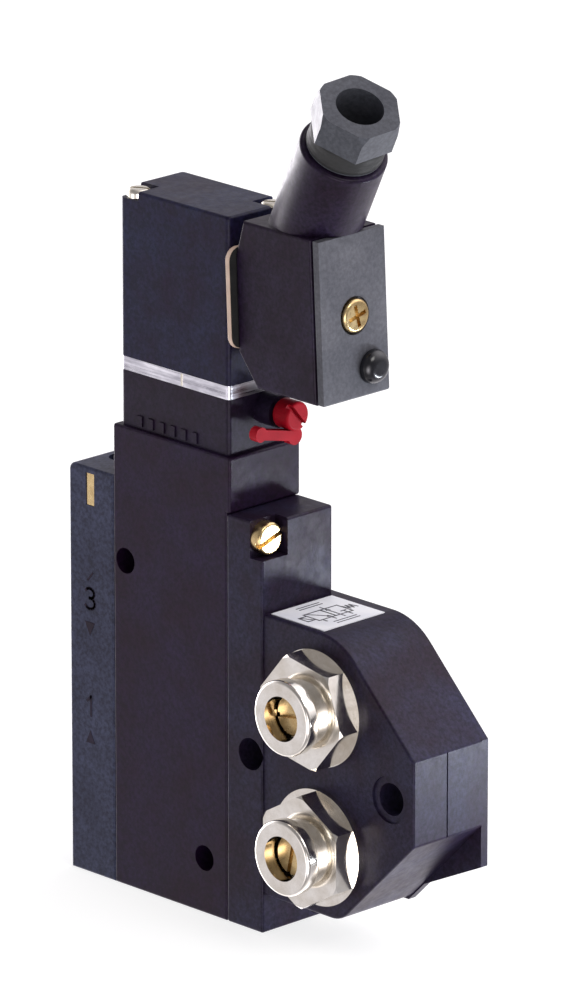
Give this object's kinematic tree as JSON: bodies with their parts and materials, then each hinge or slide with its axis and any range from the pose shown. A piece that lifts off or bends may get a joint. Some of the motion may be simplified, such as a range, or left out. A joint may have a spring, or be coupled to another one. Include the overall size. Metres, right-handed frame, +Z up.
{
  "type": "solenoid valve",
  "caption": "Pilot-operated pneumatic solenoid valve with actuator flange, threaded line ports, throttle fittings, manual override lever and angled connector plug.",
  "frame": {"origin": "centre of the valve's bounding box in plan, at the underside of the body", "axes": "+Z up through body, pilot and coil; +Y out of the flange's mating face, so the fittings point to -Y; +X from the port plate towards flange, plug and override lever"},
  "size_m": [0.0808, 0.0262, 0.1474],
  "materials": {
    "body_polyamide": "satin, glass filled",
    "flange_polyamide": "satin, glass filled",
    "plate_polyamide": "satin, glass filled",
    "pilot_polyamide": "satin",
    "coil_plastic": "satin",
    "plug_plastic": "satin",
    "cover_plastic": "satin",
    "gland_plastic": "satin",
    "dome_plastic": "gloss",
    "red_plastic": "gloss",
    "inner_plastic": "satin",
    "brass": "bright",
    "nickel": "polished nickel plate",
    "screw_steel": "bright",
    "yoke_steel": "brushed",
    "spool_aluminium": "anodised",
    "spring_steel": "bright",
    "copper": "enamelled wire",
    "black_rubber": "matt",
    "washer_plastic": "satin",
    "gasket_elastomer": "satin",
    "label_foil": "satin foil"
  },
  "bodies": {
    "valve": {"valve_body": "body_polyamide", "flange_body": "flange_polyamide", "rear_seal_plate": "flange_polyamide", "port_plate": "plate_polyamide", "bottom_cap": "plate_polyamide", "pilot_body": "pilot_polyamide", "coil_housing": "coil_plastic", "plug_housing": "plug_plastic", "plug_cover": "cover_plastic", "gland_nut": "gland_plastic", "plug_dome": "dome_plastic", "bobbin": "inner_plastic", "contact_carrier": "inner_plastic", "tie_screws": "brass", "tie_nut": "brass", "plug_screw": "brass", "pilot_nozzle": "brass", "fitting_upper": "nickel", "fitting_lower": "nickel", "coil_screws": "screw_steel", "yoke_plate": "yoke_steel", "armature_tube": "yoke_steel", "pole_core": "yoke_steel", "return_spring": "spring_steel", "plunger_spring": "spring_steel", "coil_winding": "copper", "terminal_pins": "copper", "cap_seal": "black_rubber", "fitting_seals": "black_rubber", "namur_orings": "black_rubber", "pilot_gasket": "black_rubber", "gland_grommet": "black_rubber", "gland_washer": "washer_plastic", "plug_gasket": "gasket_elastomer", "label": "label_foil"},
    "spool_set": {"spool": "spool_aluminium", "spool_seals": "black_rubber", "piston": "spool_aluminium", "piston_seal": "black_rubber"},
    "plunger_set": {"plunger": "yoke_steel", "plunger_seal": "black_rubber"},
    "override": {"override_lever": "red_plastic", "lever_seal": "black_rubber"},
    "throttle_upper": {"throttle_screw_upper": "brass"},
    "throttle_lower": {"throttle_screw_lower": "brass"}
  },
  "joints": [
    {"name": "spool_slide", "type": "slide", "parent": "valve", "child": "spool_set", "axis": [0, 0, -1], "range_m": [0, 0.0035], "stiffness_N_per_m": 1200, "springref_m": -0.004, "deforming": ["return_spring"]},
    {"name": "plunger_lift", "type": "slide", "parent": "valve", "child": "plunger_set", "axis": [0, 0, 1], "range_m": [0, 0.00075], "stiffness_N_per_m": 600, "springref_m": -0.0017, "deforming": ["plunger_spring"]},
    {"name": "override_turn", "type": "hinge", "parent": "valve", "child": "override", "pos_m": [-0.00305, 0.00465, 0.0869], "axis": [1, 0, 0], "range_deg": [0, 90]},
    {"name": "throttle_turn_upper", "type": "hinge", "parent": "valve", "child": "throttle_upper", "pos_m": [0.01895, -0.00985, 0.0426], "axis": [0, -1, 0], "range_deg": [0, 270]},
    {"name": "throttle_turn_lower", "type": "hinge", "parent": "valve", "child": "throttle_lower", "pos_m": [0.01895, -0.00985, 0.0186], "axis": [0, -1, 0], "range_deg": [0, 270]}
  ],
  "couplings": [
    {"joint": "override_turn", "follows": "plunger_lift", "rad_per_m": 2094}
  ]
}
